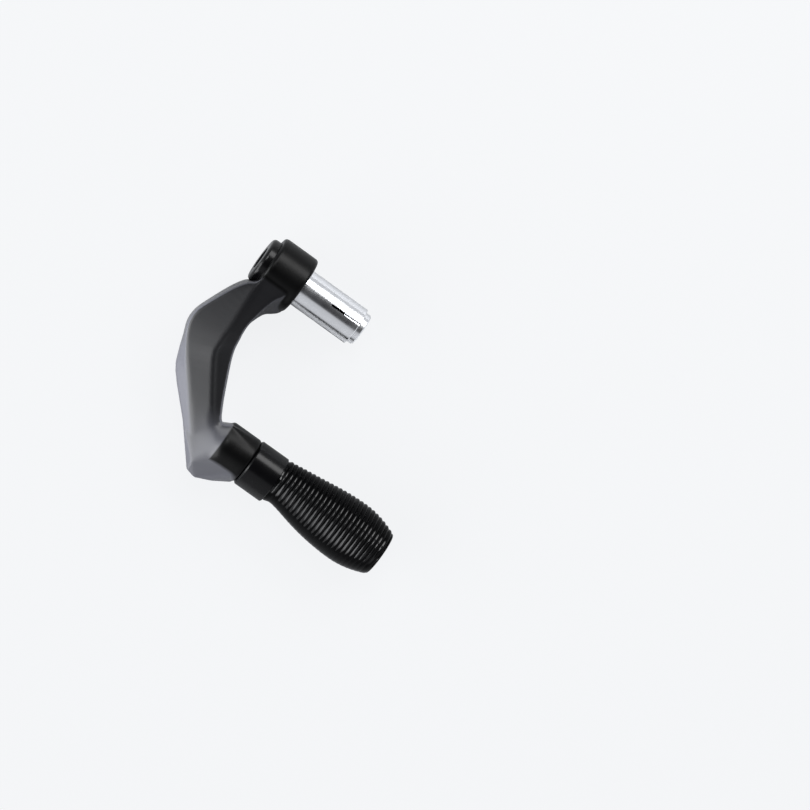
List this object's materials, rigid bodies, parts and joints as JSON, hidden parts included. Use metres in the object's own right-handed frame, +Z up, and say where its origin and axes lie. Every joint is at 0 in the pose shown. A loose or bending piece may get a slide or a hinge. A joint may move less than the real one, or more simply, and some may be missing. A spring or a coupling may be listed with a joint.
{
  "type": "brake lever guard",
  "caption": "Motorcycle lever guard: faceted cast arm on an expanding bar-end plug, with a ribbed slider in front of the lever.",
  "frame": {"origin": "on the handlebar's axis, in the plane where the bar's end meets the arm's eye", "axes": "+X outboard along the bar, +Y forward past the lever, +Z up"},
  "size_m": [0.1298, 0.1091, 0.0292],
  "materials": {
    "black_paint": "satin black",
    "black_anodised": "black anodised",
    "black_polymer": "satin",
    "zinc_steel": "bright zinc plate",
    "dark_steel": "black oxide"
  },
  "bodies": {
    "root": {"guard_arm": "black_paint", "end_cap": "black_anodised", "clamp_bolt": "dark_steel", "clamp_lock_washer": "zinc_steel", "base_ring": "zinc_steel", "expander_sleeve": "zinc_steel", "cone_nut": "zinc_steel", "slider_core": "black_anodised", "ribbed_slider": "black_polymer", "slider_bolt": "dark_steel", "slider_washer": "zinc_steel", "slider_lock_washer": "zinc_steel"}
  },
  "joints": []
}
